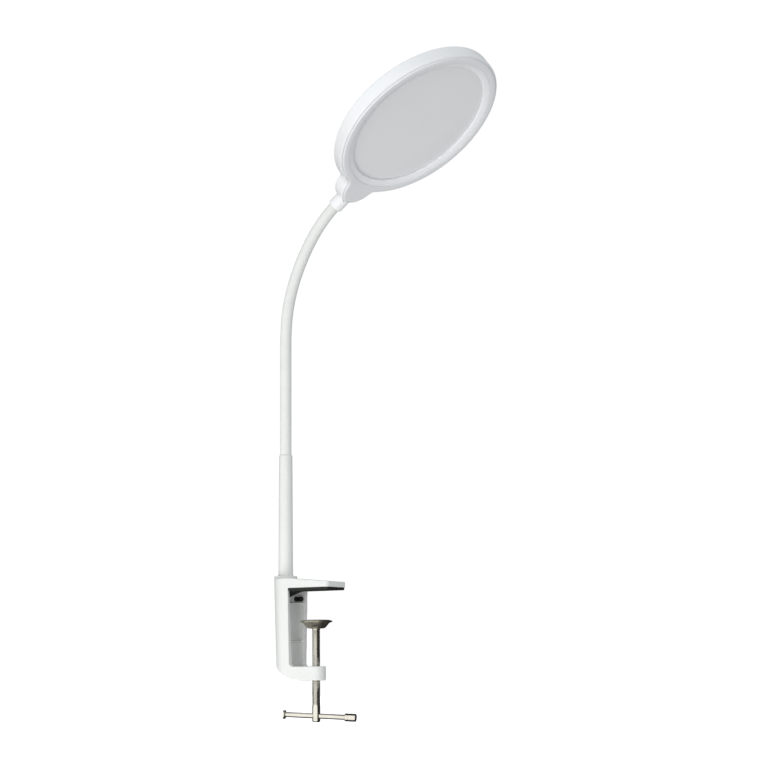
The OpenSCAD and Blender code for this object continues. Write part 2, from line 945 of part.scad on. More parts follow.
// Parts soldered on the driver board: two chips, a coil and a row of capacitors
module driver_parts() {
    high = driver_z + driver_size[2];
    color([0.2, 0.2, 0.22])
        on_head() {
            translate([driver_x + 1, 6, high]) translate([-2, -2.5, 0]) cube([4, 4, 1.4]);
            translate([driver_x - 3.4, -8.4, high]) cylinder(h = 3, r = 2.4);
            translate([driver_x + 2.8, -8.4, high]) cylinder(h = 3.6, r = 1.8);
            for (i = [0 : 3]) translate([driver_x - 5 + 1.7 * i, 9, high]) cube([1, 1.6, 0.8]);
        }
}

module switch_body() {
    high = driver_z + driver_size[2];
    color([0.15, 0.15, 0.16])
        on_head() {
            translate([button_x - 3, -3, high]) cube([6, 6, switch_h]);
            translate([button_x, 0, high + switch_h - eps]) cylinder(h = plunger_h, r = plunger_r);
        }
}

// Short leads from the ferrule's bore to the driver board
module head_leads() {
    lead_r = 0.55;
    start = 12.3;
    color("firebrick")
        on_head()
            for (side = [-1, 1])
                translate([-lobe_offset - start, side * 0.7, mid_z + 0.25])
                    rotate([0, -90, 0]) cylinder(h = 10.7, r = lead_r, $fn = 24);
}

// Self-tapping screws that hold the bezel to the rear shell
module housing_screws() {
    high = head_t - 0.1;
    color(nickel)
        on_head()
            screw_places()
                difference() {
                    union() {
                        translate([0, 0, high - 1.1]) cylinder(h = 1.1, r = screw_head_r, $fn = 48);
                        translate([0, 0, high - 8]) cylinder(h = 7, r = 0.8, $fn = 32);
                    }
                    for (a = [0, 90])
                        rotate([0, 0, a]) translate([-1.2, -0.25, high - 0.6]) cube([2.4, 0.5, 1]);
                }
}

// Push button in the back of the lobe, kept in by a flange under the back
module power_button() {
    low = driver_z + driver_size[2] + switch_h + plunger_h + button_travel + 0.05;
    under = head_t - back_t - button_flange_t - 0.1;
    high = head_t + button_rise;
    edge = 0.5;
    color(bezel_grey)
        on_head()
            translate([button_x, 0, 0])
                rotate_extrude()
                    polygon([
                        [0, low],
                        [plunger_r, low],
                        [plunger_r, under],
                        [button_flange_r, under],
                        [button_flange_r, under + button_flange_t],
                        [button_r, under + button_flange_t],
                        [button_r, high - edge],
                        [button_r - edge, high],
                        [0, high]
                    ]);
}

// Domed cover over the lens, with a knuckle, a thumb tab and a raised rim
module lens_cover() {
    dome_r = cap_sphere_r(cover_r, cover_dome_h);
    dome_z = cover_low_z + cover_rim_h + cover_dome_h - dome_r;
    color(plastic_white)
        on_head() {
            difference() {
                intersection() {
                    translate([0, 0, dome_z]) sphere(dome_r, $fn = 360);
                    translate([0, 0, cover_low_z]) cylinder(h = 20, r = cover_r, $fn = 240);
                }
                intersection() {
                    translate([0, 0, dome_z]) sphere(dome_r - cover_t, $fn = 360);
                    translate([0, 0, cover_low_z - 1])
                        cylinder(h = 20, r = cover_r - cover_t, $fn = 240);
                }
            }
            cover_tab();
            cover_knuckle();
        }
}

module cover_tab() {
    translate([cover_r - 1, 0, cover_low_z + 0.2])
        intersection() {
            translate([-2, 0, 0]) cylinder(h = 1.4, r = 8);
            translate([0.2, -7, 0]) cube([7, 14, 1.4]);
        }
}

module cover_knuckle() {
    reach = hinge_x + cover_r;
    difference() {
        union() {
            translate([hinge_x, 0, hinge_z])
                rotate([90, 0, 0]) cylinder(h = 2 * knuckle_half, r = knuckle_r, center = true);
            translate([hinge_x, -knuckle_half, cover_low_z])
                cube([-reach + 1.2, 2 * knuckle_half, cover_rim_h + 0.6]);
        }
        translate([hinge_x, 0, hinge_z])
            rotate([90, 0, 0]) cylinder(h = 60, r = hinge_pin_r + 0.05, center = true, $fn = 48);
    }
}

module cover_hinge_pin() {
    half = knuckle_half + lug_gap + lug_w;
    color(nickel)
        on_head()
            translate([hinge_x, 0, hinge_z])
                rotate([90, 0, 0]) cylinder(h = 2 * half, r = hinge_pin_r, center = true, $fn = 48);
}

clamp_body();
jaw_pad();
cable_grommet();
pole_tube();
pole_stud();
pole_washer();
pole_nut();
swivel_ring();
pressure_plate();
clamp_screw();
tommy_bar();
tommy_bar_cap();
arm_base();
sleeve_base();
arm_link(1);  // arm_link_1
arm_link(2);  // arm_link_2
arm_link(3);  // arm_link_3
arm_link(4);  // arm_link_4
arm_link(5);  // arm_link_5
arm_link(6);  // arm_link_6
arm_link(7);  // arm_link_7
arm_link(8);  // arm_link_8
arm_link(9);  // arm_link_9
arm_link(10);  // arm_link_10
arm_link(11);  // arm_link_11
sleeve(1);  // sleeve_1
sleeve(2);  // sleeve_2
sleeve(3);  // sleeve_3
sleeve(4);  // sleeve_4
sleeve(5);  // sleeve_5
sleeve(6);  // sleeve_6
sleeve(7);  // sleeve_7
sleeve(8);  // sleeve_8
sleeve(9);  // sleeve_9
sleeve(10);  // sleeve_10
sleeve(11);  // sleeve_11
arm_end();
sleeve_end();
neck_ferrule();
ferrule_nut();
rear_shell();
front_bezel();
light_diffuser();
led_board();
led_chips();
lens();
lens_gasket();
lens_ring();
driver_board();
driver_parts();
switch_body();
head_leads();
housing_screws();
power_button();
lens_cover();
cover_hinge_pin();
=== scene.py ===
import json
import math

import bmesh
import bpy
from mathutils import Matrix, Vector


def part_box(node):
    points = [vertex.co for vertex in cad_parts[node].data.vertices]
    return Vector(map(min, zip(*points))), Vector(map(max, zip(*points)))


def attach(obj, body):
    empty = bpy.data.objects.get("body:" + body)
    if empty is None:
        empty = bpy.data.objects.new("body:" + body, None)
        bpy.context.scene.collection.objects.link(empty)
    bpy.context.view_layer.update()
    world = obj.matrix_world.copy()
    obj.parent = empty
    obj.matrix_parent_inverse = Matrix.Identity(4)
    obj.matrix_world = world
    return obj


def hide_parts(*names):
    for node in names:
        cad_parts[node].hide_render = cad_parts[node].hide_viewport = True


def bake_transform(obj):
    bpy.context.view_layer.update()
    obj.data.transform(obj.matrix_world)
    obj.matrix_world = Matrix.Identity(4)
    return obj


MM = 0.001

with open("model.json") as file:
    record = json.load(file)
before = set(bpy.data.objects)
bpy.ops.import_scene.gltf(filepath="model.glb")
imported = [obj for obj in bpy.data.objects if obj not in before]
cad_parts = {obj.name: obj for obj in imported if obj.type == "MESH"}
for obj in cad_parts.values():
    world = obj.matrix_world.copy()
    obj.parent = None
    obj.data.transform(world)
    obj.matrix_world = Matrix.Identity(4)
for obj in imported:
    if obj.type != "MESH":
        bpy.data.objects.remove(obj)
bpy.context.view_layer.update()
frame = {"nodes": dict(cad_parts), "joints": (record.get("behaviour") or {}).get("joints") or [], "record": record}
joints = {j["name"]: j for j in frame["joints"]}

# ---------------------------------------------------------------- driving values, millimetres

POLE_FOOT_R = 7.25
POLE_TOP_R = 6.7
POLE_BORE_R = 5.1
SLEEVE_R = 5.8
SLEEVE_INNER_R = 5.25
SLEEVE_RINGS = 20
SLEEVE_SIDES = 48
RIPPLE = 0.035
RIPPLE_PITCH = 3.1

HEAD_R = 91.0
HEAD_T = 15.6
LOBE_R = 22.0
LOBE_OFFSET = 88.0
LOBE_FILLET = 8.0
SHELL_WALL = 2.1
SHELL_FRONT = 1.4
SHELL_ROUND = 2.0
BACK_PLATE_T = 2.0
BACK_INSET = 5.0
BEZEL_INSET = 2.8
BEZEL_T = 2.4
BEZEL_EDGE_R = 0.9
BEZEL_FLAT_INSET = 5.4
BEZEL_OPENING_R = 81.5
WELL_R = 77.4
WELL_WALL = 1.8
WELL_TOP = 7.4
LIGHT_RING_R = 81.4
APERTURE_R = 75.2
LENS_R = 76.5
LENS_EDGE = (4.9, 7.1)
LENS_SAGS = (1.6, 10.5)
COVER_R = 81.0
COVER_LOW = HEAD_T + 0.2
COVER_RIM = 1.2
COVER_DOME = 4.5
COVER_T = 1.8
COVER_EDGE_R = 0.9
TAB_T = 1.4
HINGE_X = -84.6
HINGE_Z = HEAD_T + 2.95
KNUCKLE_R = 2.6
KNUCKLE_HALF = 9.0
LUG_HOLE_R = 1.04
KNUCKLE_HOLE_R = 1.06
LUG_GAP = 0.35
LUG_W = 4.0
SCREW_ANGLES = (22, 68, 112, 158, 202, 248, 292, 338)
SCREW_CIRCLE_R = 84.6
RECESS_R = 2.15
RECESS_DEPTH = 1.3
BUTTON_X = -96.0
BUTTON_R = 5.0
BUTTON_FLANGE_R = 5.9
BUTTON_STEM_R = 1.6
BUTTON_STEM_LOW = 11.45

SCREW_R = 4.0
SCREW_END_R = 1.6
SCREW_PLAIN = 14.5
THREAD_PITCH = 1.25
THREAD_DEPTH = 0.42
THREAD_STEPS = 8
BALL_Z = -34.0
BALL_R = 3.4
BALL_NECK_R = 2.3
PLATE_R = 16.4
PLATE_OVER_BALL = 5.0
BAR_R = 2.5
BAR_HOLE_R = 2.56
BAR_FLANGE_R = 4.4
BAR_CAP_R = 3.85
BAR_CAP_GROOVE_R = 3.7
BAR_CAP_DEPTH = 3.0
BAR_TURN = 20.0
BAR_LEAN = 2.8
BAR_Z = -122.2
BAR_CAP_END = 40.0
BAR_FLANGE_END = -33.2
NECK_REACH = 42.3
FERRULE_R = 7.6
FERRULE_END = 34.0
FERRULE_FOOT = 2.0
FERRULE_BORE_R = 4.0
FERRULE_SOCKET_R = 5.9
FERRULE_SOCKET_LOW = 25.0
FERRULE_GAP = 0.03

# Angles in degrees: edges sharper than these are kept sharp, or rounded by a bevel
SHARP = 35.0
THREAD_SHARP = 50.0
EDGE_ANGLE = 50.0

# ---------------------------------------------------------------- light and camera, metres, degrees

# The tent lights matt surfaces and grows brighter towards TENT_SIDE. Glossy surfaces mirror a sky
# that is dark but for the part round MIRROR_SIDE. The camera itself sees an even white.
TENT_SIDE = (0.26, -0.47, 0.84)
TENT_RANGE = (0.31, 0.95)
TENT_SPAN = (-1.0, 1.0)
TENT_COLOUR = (0.955, 0.985, 1.0)
MIRROR_SIDE = (0.0, -1.0, 0.0)
MIRROR_RANGE = (0.03, 1.1)
MIRROR_SPAN = (0.32, 0.56)
BACKDROP = 1.02
WARM_WHITE = (1.0, 0.99, 0.965)
COOL_WHITE = (0.93, 0.98, 1.0)
KEY_SIDE = (-0.065, -0.74, -0.67)
KEY_POWER = 28
FILL_SIDE = (0.7, -0.7, 0.1)
FILL_POWER = 3
LIGHT_AIM = (0.0, 0.0, 0.2)
LIGHT_DISTANCE = 2.2
LIGHT_SIZE = (1.6, 1.6)

FLOOR_Z = -0.26
FLOOR_HALF = 9.0
FLOOR_GLOW = 0.62

CAMERA_PLACE = (1.0068, -1.4828, -0.0765)
CAMERA_AZIMUTH = 32.0
CAMERA_PITCH = 9.0
CAMERA_ROLL = -0.49
CAMERA_LENS = 84.6
CAMERA_SENSOR = 36.0
CAMERA_CLIP = (0.05, 40.0)

# ---------------------------------------------------------------- places taken from the frame

Y_AXIS = Vector((0, 1, 0))
head_up = -Vector(joints["button_press"]["axis"]).normalized()
head_along = Y_AXIS.cross(head_up)
hinge_pos = Vector(joints["cover_hinge"]["pos_m"])
head_centre = hinge_pos - head_along * HINGE_X * MM - head_up * HINGE_Z * MM


def frame_matrix(x, y, z, origin):
    """The matrix of a frame with these axes and this origin."""
    m = Matrix((x, y, z)).transposed().to_4x4()
    m.translation = origin
    return m


HEAD = frame_matrix(head_along, Y_AXIS, head_up, head_centre)
HINGE = (
    HEAD
    @ Matrix.Translation(Vector((HINGE_X * MM, 0, HINGE_Z * MM)))
    @ Matrix.Rotation(math.radians(90), 4, "X")
)
pole_low, pole_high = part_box("pole_tube")
pole_x = (pole_low.x + pole_high.x) / 2
POLE = Matrix.Translation(Vector((pole_x, 0, 0)))
SCREW = Matrix.Identity(4)
BAR = (
    Matrix.Translation(Vector((0, 0, BAR_Z * MM)))
    @ Matrix.Rotation(math.radians(BAR_TURN), 4, "Z")
    @ Matrix.Rotation(math.radians(90 + BAR_LEAN), 4, "Y")
)


# ---------------------------------------------------------------- mesh helpers


def make_object(name, vertices, faces, matrix, sharp=SHARP):
    """A mesh object from points in millimetres, placed by matrix, with sharp edges kept."""
    mesh = bpy.data.meshes.new(name)
    mesh.from_pydata([tuple(c * MM for c in v) for v in vertices], [], faces)
    bm = bmesh.new()
    bm.from_mesh(mesh)
    bmesh.ops.remove_doubles(bm, verts=bm.verts, dist=1e-6)
    bmesh.ops.recalc_face_normals(bm, faces=bm.faces)
    bm.to_mesh(mesh)
    bm.free()
    mesh.transform(matrix)
    finish_shading(mesh, sharp)
    obj = bpy.data.objects.new(name, mesh)
    bpy.context.scene.collection.objects.link(obj)
    return obj


def finish_shading(mesh, sharp):
    """Smooth shading, with edges above the sharp angle in degrees kept."""
    mesh.shade_smooth()
    mesh.set_sharp_from_angle(angle=math.radians(sharp))


def add_piece(obj, body, slot, nodes=()):
    """Gives a piece its body, its material and the CAD nodes it stands for."""
    obj.data.materials.clear()
    obj.data.materials.append(MATERIALS[slot])
    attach(obj, body)
    if nodes:
        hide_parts(*nodes)
    return obj


def rounded(corners, steps=5):
    """A closed section through corners (u, v, radius), each corner replaced by an arc."""
    points = []
    count = len(corners)
    for i, (u, v, radius) in enumerate(corners):
        here = Vector((u, v))
        back = Vector(corners[i - 1][:2]) - here
        ahead = Vector(corners[(i + 1) % count][:2]) - here
        if radius <= 0 or back.length < 1e-9 or ahead.length < 1e-9:
            points.append((u, v))
            continue
        half = back.angle(ahead) / 2
        cut = radius / math.tan(half)
        start = here + back.normalized() * cut
        end = here + ahead.normalized() * cut
        inward = (back.normalized() + ahead.normalized()).normalized()
        centre = here + inward * radius / math.sin(half)
        first = start - centre
        turn = first.angle_signed(end - centre)
        for k in range(steps + 1):
            a = -turn * k / steps
            c, s = math.cos(a), math.sin(a)
            u_turned = first.x * c - first.y * s
            v_turned = first.x * s + first.y * c
            points.append((centre.x + u_turned, centre.y + v_turned))
    return points


def lathe(name, section, matrix, segments=96, closed=True, sharp=SHARP):
    """Turns a section of (radius, height) points about the matrix's own z axis."""
    rows = []
    vertices = []
    for radius, height in section:
        if radius < 1e-6:
            rows.append([len(vertices)])
            vertices.append((0, 0, height))
            continue
        row = []
        for k in range(segments):
            a = 2 * math.pi * k / segments
            row.append(len(vertices))
            vertices.append((radius * math.cos(a), radius * math.sin(a), height))
        rows.append(row)
    return make_object(name, vertices, skin(rows, closed), matrix, sharp)


def skin(rows, closed):
    """Faces between neighbouring rings of points. A ring of one point is an end on the axis."""
    faces = []
    pairs = list(zip(rows, rows[1:]))
    if closed:
        pairs.append((rows[-1], rows[0]))
    for low, high in pairs:
        n = max(len(low), len(high))
        if n == 1:
            continue
        for k in range(n):
            m = (k + 1) % n
            if len(low) == 1:
                faces.append((low[0], high[m], high[k]))
            elif len(high) == 1:
                faces.append((low[k], low[m], high[0]))
            else:
                faces.append((low[k], low[m], high[m], high[k]))
    return faces


def keyhole(inset):
    """The head's outline set in all round: ring, fillet, lobe, fillet. Always as many points."""
    a = HEAD_R + LOBE_FILLET
    b = LOBE_R + LOBE_FILLET
    cx = (LOBE_OFFSET**2 + a**2 - b**2) / (2 * LOBE_OFFSET)
    cy = math.sqrt(a**2 - cx**2)
    ring_end = math.atan2(cy, -cx)
    lobe_start = math.atan2(cy, LOBE_OFFSET - cx)
    fillet_start = ring_end - math.pi
    fillet_end = lobe_start - math.pi
    points = []

    def sweep(x, y, radius, start, end, steps):
        for k in range(steps):
            t = start + (end - start) * k / steps
            points.append((x + radius * math.cos(t), y + radius * math.sin(t)))

    sweep(0, 0, HEAD_R - inset, -ring_end, ring_end, 180)
    sweep(-cx, cy, LOBE_FILLET + inset, fillet_start, fillet_end, 12)
    sweep(-LOBE_OFFSET, 0, LOBE_R - inset, lobe_start, 2 * math.pi - lobe_start, 48)
    sweep(-cx, -cy, LOBE_FILLET + inset, -fillet_end, -fillet_start, 12)
    return points


OUTLINE_ANGLES = [math.atan2(y, x) for x, y in keyhole(0)]


def circle_loop(radius):
    """A circle with one point for each point of the keyhole outline, at the same angle."""
    return [(radius * math.cos(a), radius * math.sin(a)) for a in OUTLINE_ANGLES]


def loft(name, loops, matrix, sharp=SHARP):
    """A closed solid through loops of (outline points, height), the last joined to the first."""
    vertices = []
    rows = []
    for outline, height in loops:
        rows.append(list(range(len(vertices), len(vertices) + len(outline))))
        vertices.extend((x, y, height) for x, y in outline)
    return make_object(name, vertices, skin(rows, True), matrix, sharp)


def cylinder(name, radius, low, high, matrix, segments=64):
    section = [(0, low), (radius, low), (radius, high), (0, high)]
    return lathe(name, section, matrix, segments, closed=False)


def prism(name, ends, matrix):
    """A solid between two outlines with the same number of points."""
    n = len(ends[0])
    faces = [tuple(range(n - 1, -1, -1)), tuple(range(n, 2 * n))]
    faces += [(k, (k + 1) % n, n + (k + 1) % n, n + k) for k in range(n)]
    return make_object(name, ends[0] + ends[1], faces, matrix)


def join(objects, name):
    """One mesh object from several, which are removed."""
    bm = bmesh.new()
    for obj in objects:
        bm.from_mesh(obj.data)
        bpy.data.objects.remove(obj)
    mesh = bpy.data.meshes.new(name)
    bm.to_mesh(mesh)
    bm.free()
    obj = bpy.data.objects.new(name, mesh)
    bpy.context.scene.collection.objects.link(obj)
    return obj


def apply_modifiers(obj):
    """Puts the evaluated mesh in place of the object's own."""
    bpy.context.view_layer.update()
    graph = bpy.context.evaluated_depsgraph_get()
    mesh = bpy.data.meshes.new_from_object(obj.evaluated_get(graph))
    obj.modifiers.clear()
    obj.data = mesh
    return obj


def cut(obj, cutter, sharp=SHARP):
    """Takes the cutter out of the object and removes the cutter."""
    modifier = obj.modifiers.new("cut", "BOOLEAN")
    modifier.operation = "DIFFERENCE"
    modifier.solver = "EXACT"
    modifier.object = cutter
    apply_modifiers(obj)
    bpy.data.objects.remove(cutter)
    finish_shading(obj.data, sharp)
    return obj


def round_edges(obj, width):
    """Rounds the edges sharper than EDGE_ANGLE, by a width in millimetres."""
    bevel = obj.modifiers.new("bevel", "BEVEL")
    bevel.width = width * MM
    bevel.segments = 3
    bevel.limit_method = "ANGLE"
    bevel.angle_limit = math.radians(EDGE_ANGLE)
    return apply_modifiers(obj)


def bevelled_box(name, size, centre, matrix, width=0.4, segments=3):
    """A box with every edge rounded."""
    bm = bmesh.new()
    bmesh.ops.create_cube(bm, size=1.0)
    for v in bm.verts:
        v.co = Vector((v.co[i] * size[i] + centre[i] for i in range(3)))
    bmesh.ops.bevel(
        bm, geom=bm.edges, offset=width, segments=segments, profile=0.5, affect="EDGES"
    )
    bm.verts.index_update()
    vertices = [tuple(v.co) for v in bm.verts]
    faces = [tuple(v.index for v in f.verts) for f in bm.faces]
    bm.free()
    return make_object(name, vertices, faces, matrix)


# ---------------------------------------------------------------- materials


class Nodes:
    """A short way to build a node material around one Principled shader."""

    def __init__(self, name):
        self.material = bpy.data.materials.new(name)
        self.material.use_nodes = True
        self.tree = self.material.node_tree
        self.shader = self.tree.nodes["Principled BSDF"]
        self.coords = self.tree.nodes.new("ShaderNodeTexCoord")

    def value(self, socket, amount):
        """Sets a constant on the shader's own socket."""
        self.shader.inputs[socket].default_value = amount

    def link(self, source, target):
        self.tree.links.new(source, target)

    def roughness(self, factor, low, high):
        """Roughness that follows factor from low to high."""
        self.link(self.between(factor, low, high), self.shader.inputs["Roughness"])

    def subsurface(self, weight, radius):
        """A little light that scatters under the surface, to a radius in metres."""
        self.value("Subsurface Weight", weight)
        self.value("Subsurface Radius", radius)
        self.value("Subsurface Scale", 1.0)

    def scaled(self, scale):
        """Object coordinates stretched by scale."""
        mapping = self.tree.nodes.new("ShaderNodeMapping")
        mapping.inputs["Scale"].default_value = scale
        self.link(self.coords.outputs["Object"], mapping.inputs["Vector"])
        return mapping.outputs["Vector"]

    def noise(self, scale, detail=3.0, roughness=0.5, stretch=(1, 1, 1)):
        node = self.tree.nodes.new("ShaderNodeTexNoise")
        node.inputs["Scale"].default_value = scale
        node.inputs["Detail"].default_value = detail
        node.inputs["Roughness"].default_value = roughness
        self.link(self.scaled(stretch), node.inputs["Vector"])
        return node.outputs["Fac"]

    def wave(self, scale, direction="Z", distortion=0.0):
        node = self.tree.nodes.new("ShaderNodeTexWave")
        node.bands_direction = direction
        node.inputs["Scale"].default_value = scale
        node.inputs["Distortion"].default_value = distortion
        self.link(self.coords.outputs["Object"], node.inputs["Vector"])
        return node.outputs["Fac"]

    def between(self, factor, low, high, span=(0.3, 0.7)):
        """A number that follows factor from low to high."""
        node = self.tree.nodes.new("ShaderNodeMapRange")
        node.inputs["From Min"].default_value = span[0]
        node.inputs["From Max"].default_value = span[1]
        node.inputs["To Min"].default_value = low
        node.inputs["To Max"].default_value = high
        self.link(factor, node.inputs["Value"])
        return node.outputs["Result"]

    def blend(self, factor, first, second, span=(0.3, 0.7)):
        """A colour that follows factor from first to second."""
        node = self.tree.nodes.new("ShaderNodeValToRGB")
        node.color_ramp.elements[0].position = span[0]
        node.color_ramp.elements[0].color = (*first, 1)
        node.color_ramp.elements[1].position = span[1]
        node.color_ramp.elements[1].color = (*second, 1)
        self.link(factor, node.inputs["Fac"])
        self.link(node.outputs["Color"], self.shader.inputs["Base Color"])

    def bump(self, height, distance, strength=1.0, under=None):
        """Relief of a depth in metres, on top of the relief under it."""
        node = self.tree.nodes.new("ShaderNodeBump")
        node.inputs["Distance"].default_value = distance
        node.inputs["Strength"].default_value = strength
        self.link(height, node.inputs["Height"])
        if under:
            self.link(under, node.inputs["Normal"])
        self.link(node.outputs["Normal"], self.shader.inputs["Normal"])
        return node.outputs["Normal"]


def shade(colour, factor):
    """A colour made lighter or darker."""
    return tuple(min(1.0, c * factor) for c in colour)


def coated_metal(name, colour, roughness=0.34):
    """Sprayed and baked paint: faint orange peel, dust-fine grain and slightly uneven tone."""
    n = Nodes(name)
    n.blend(n.noise(28, 3), shade(colour, 0.975), shade(colour, 1.015))
    n.roughness(n.noise(160, 2), roughness - 0.04, roughness + 0.07)
    peel = n.bump(n.noise(620, 2), 0.00003, 0.5)
    n.bump(n.noise(2600, 1), 0.000012, 0.4, peel)
    n.value("Coat Weight", 0.12)
    n.value("Coat Roughness", 0.25)
    return n.material


def plastic(name, colour, roughness=0.38, grain=2400, depth=0.000003, soft=0.05):
    """Moulded plastic: fine satin grain and a little light under the surface."""
    n = Nodes(name)
    n.blend(n.noise(18, 3), shade(colour, 0.985), shade(colour, 1.01))
    n.roughness(n.noise(220, 2), roughness - 0.03, roughness + 0.05)
    n.bump(n.noise(grain, 2, 0.6), depth, 0.5)
    n.subsurface(soft, (0.002, 0.002, 0.002))
    return n.material


def sleeve_material(name, colour):
    """Soft extruded sleeve: satin skin, faint smudges and slanting stretch marks."""
    n = Nodes(name)
    n.blend(n.noise(55, 4), shade(colour, 0.97), shade(colour, 1.02))
    n.roughness(n.noise(130, 3), 0.42, 0.56)
    skin_bump = n.bump(n.noise(900, 3, 0.6, (1, 1, 0.35)), 0.00003, 0.5)
    n.bump(n.noise(190, 3, 0.55, (1, 1, 2.4)), 0.00008, 0.45, skin_bump)
    n.value("Sheen Weight", 0.05)
    n.subsurface(0.06, (0.002, 0.002, 0.0018))
    return n.material


def rubber(name, colour):
    """Matt black rubber with a mottled, pitted skin."""
    n = Nodes(name)
    n.blend(n.noise(90, 4), shade(colour, 0.8), shade(colour, 1.5))
    n.roughness(n.noise(300, 3), 0.62, 0.82)
    n.bump(n.noise(1500, 3, 0.6), 0.00004, 0.6)
    return n.material


def plated(name, colour, roughness=0.17, streak=(1, 1, 1)):
    """Nickel plating: bright, with faint polishing streaks and slightly uneven tone."""
    n = Nodes(name)
    n.value("Metallic", 1.0)
    n.blend(n.noise(60, 4), shade(colour, 0.93), shade(colour, 1.05))
    grain = n.noise(420, 4, 0.6, streak)
    n.roughness(grain, roughness - 0.04, roughness + 0.09)
    n.bump(grain, 0.000012, 0.5)
    return n.material


def dull_steel(name, colour):
    """Pressed steel with a dull finish: blotches, fine pits and rubbed patches."""
    n = Nodes(name)
    n.value("Metallic", 1.0)
    n.blend(n.noise(150, 6, 0.65), shade(colour, 0.5), shade(colour, 1.5))
    n.roughness(n.noise(240, 5, 0.6), 0.24, 0.5)
    n.bump(n.noise(700, 4, 0.6), 0.00006, 0.6)
    return n.material


def opal(name, colour):
    """Opal diffuser: light scatters under a satin surface."""
    n = Nodes(name)
    n.blend(n.noise(35, 2), shade(colour, 0.99), shade(colour, 1.01))
    n.roughness(n.noise(500, 2), 0.3, 0.38)
    n.bump(n.noise(3000, 2), 0.000002, 0.4)
    n.subsurface(0.35, (0.003, 0.003, 0.003))
    return n.material


def lens_glass(name):
    """Clear lens seen straight on; at a slant its pale colour grows opaque, a painted sheen standing in for the
    glass's reflection.
    """
    n = Nodes(name)
    facing = n.tree.nodes.new("ShaderNodeLayerWeight")
    facing.inputs["Blend"].default_value = 0.5
    # Alpha rises towards a slant, so the pale base colour there is painted sheen, not haze in the glass.
    n.link(n.between(facing.outputs["Facing"], 0.12, 0.9, (0.15, 0.5)), n.shader.inputs["Alpha"])
    n.blend(n.noise(1400, 2), (0.90, 0.897, 0.91), (0.91, 0.907, 0.92))
    n.roughness(n.noise(1800, 2), 0.16, 0.18)
    n.value("Specular IOR Level", 0.2)
    n.value("IOR", 1.52)
    n.material.blend_method = "BLEND"
    return n.material


def circuit_board(name, colour):
    """Solder mask with faint copper tracks under it."""
    n = Nodes(name)
    tracks = n.wave(90, "X", 6.0)
    n.blend(tracks, shade(colour, 0.75), shade(colour, 1.3), (0.45, 0.55))
    n.roughness(n.noise(300, 2), 0.3, 0.42)
    n.bump(tracks, 0.00003, 0.5)
    return n.material


def phosphor(name, colour):
    """The yellow phosphor over an LED chip."""
    n = Nodes(name)
    n.blend(n.noise(900, 3), shade(colour, 0.9), shade(colour, 1.08))
    n.roughness(n.noise(1200, 2), 0.25, 0.4)
    n.bump(n.noise(2400, 2), 0.00001, 0.4)
    return n.material


CASTING_WHITE = (0.762, 0.768, 0.752)
POLE_WHITE = (0.755, 0.76, 0.735)
SLEEVE_WHITE = (0.78, 0.785, 0.765)
PLASTIC_WHITE = (0.88, 0.885, 0.90)
OPAL_WHITE = (0.94, 0.95, 0.975)
NICKEL = (0.80, 0.775, 0.70)

MATERIALS = {
    "casting": coated_metal("casting_coat", CASTING_WHITE),
    "pole": coated_metal("pole_paint", shade(POLE_WHITE, 1.02), 0.3),
    "pad_rubber": rubber("pad_rubber", (0.012, 0.012, 0.013)),
    "gasket_silicone": plastic("gasket_silicone", (0.72, 0.73, 0.73), 0.5, 1500, 0.00001, 0.3),
    "zinc_hardware": plated("zinc_hardware", (0.60, 0.60, 0.58), 0.28),
    "arm_core": dull_steel("arm_core", (0.22, 0.22, 0.21)),
    "arm_sleeve": sleeve_material("arm_sleeve", SLEEVE_WHITE),
    "nylon": plastic("nylon", (0.78, 0.74, 0.62), 0.45),
    "plate_steel": dull_steel("plate_steel", (0.58, 0.55, 0.46)),
    "nickel": plated("nickel", NICKEL, 0.1, (1, 1, 0.06)),
    "head_white": plastic("head_white", PLASTIC_WHITE),
    "bezel_white": plastic("bezel_white", shade(PLASTIC_WHITE, 0.94), 0.42),
    "diffuser": opal("diffuser", OPAL_WHITE),
    "led_board_white": circuit_board("led_board_white", (0.66, 0.66, 0.64)),
    "led_yellow": phosphor("led_yellow", (0.85, 0.68, 0.16)),
    "lens_glass": lens_glass("lens_glass"),
    "board_green": circuit_board("board_green", (0.02, 0.12, 0.05)),
    "component_black": plastic(
        "component_black", (0.02, 0.02, 0.022), 0.4, 1500, 0.00002, 0.0
    ),
    "lead_red": plastic("lead_red", (0.45, 0.02, 0.02), 0.35, 1500, 0.00001, 0.0),
    "button_grey": plastic("button_grey", (0.60, 0.61, 0.62), 0.4),
    "cover_white": plastic("cover_white", shade(PLASTIC_WHITE, 0.98), 0.36),
}

# Every CAD node gets the material of its slot; pieces below replace the ones with more detail.
for part in frame["record"]["subparts"]:
    node = frame["nodes"][part["node"]]
    node.data.materials.clear()
    node.data.materials.append(MATERIALS[part["material_slot"]])


# ---------------------------------------------------------------- clamp, pole and screw


def softened_copy(node, name, voxel, smoothing, keep):
    """A remeshed copy of a CAD node whose edges are softened like a casting's."""
    obj = bpy.data.objects.new(name, frame["nodes"][node].data.copy())
    bpy.context.scene.collection.objects.link(obj)
    remesh = obj.modifiers.new("remesh", "REMESH")
    remesh.mode = "VOXEL"
    remesh.voxel_size = voxel * MM
    smooth = obj.modifiers.new("smooth", "SMOOTH")
    smooth.factor = 0.5
    smooth.iterations = smoothing
    fewer = obj.modifiers.new("fewer", "DECIMATE")
    fewer.ratio = keep
    apply_modifiers(obj)
    finish_shading(obj.data, 60.0)
    return obj


def build_clamp():
    """The casting and its jaw pad, as softened copies of their CAD nodes."""
    casting = softened_copy("clamp_body", "clamp_casting", 0.5, 5, 0.35)
    add_piece(casting, "root", "casting", ["clamp_body"])
    pad = softened_copy("jaw_pad", "jaw_rubber", 0.4, 2, 0.35)
    add_piece(pad, "root", "pad_rubber", ["jaw_pad"])


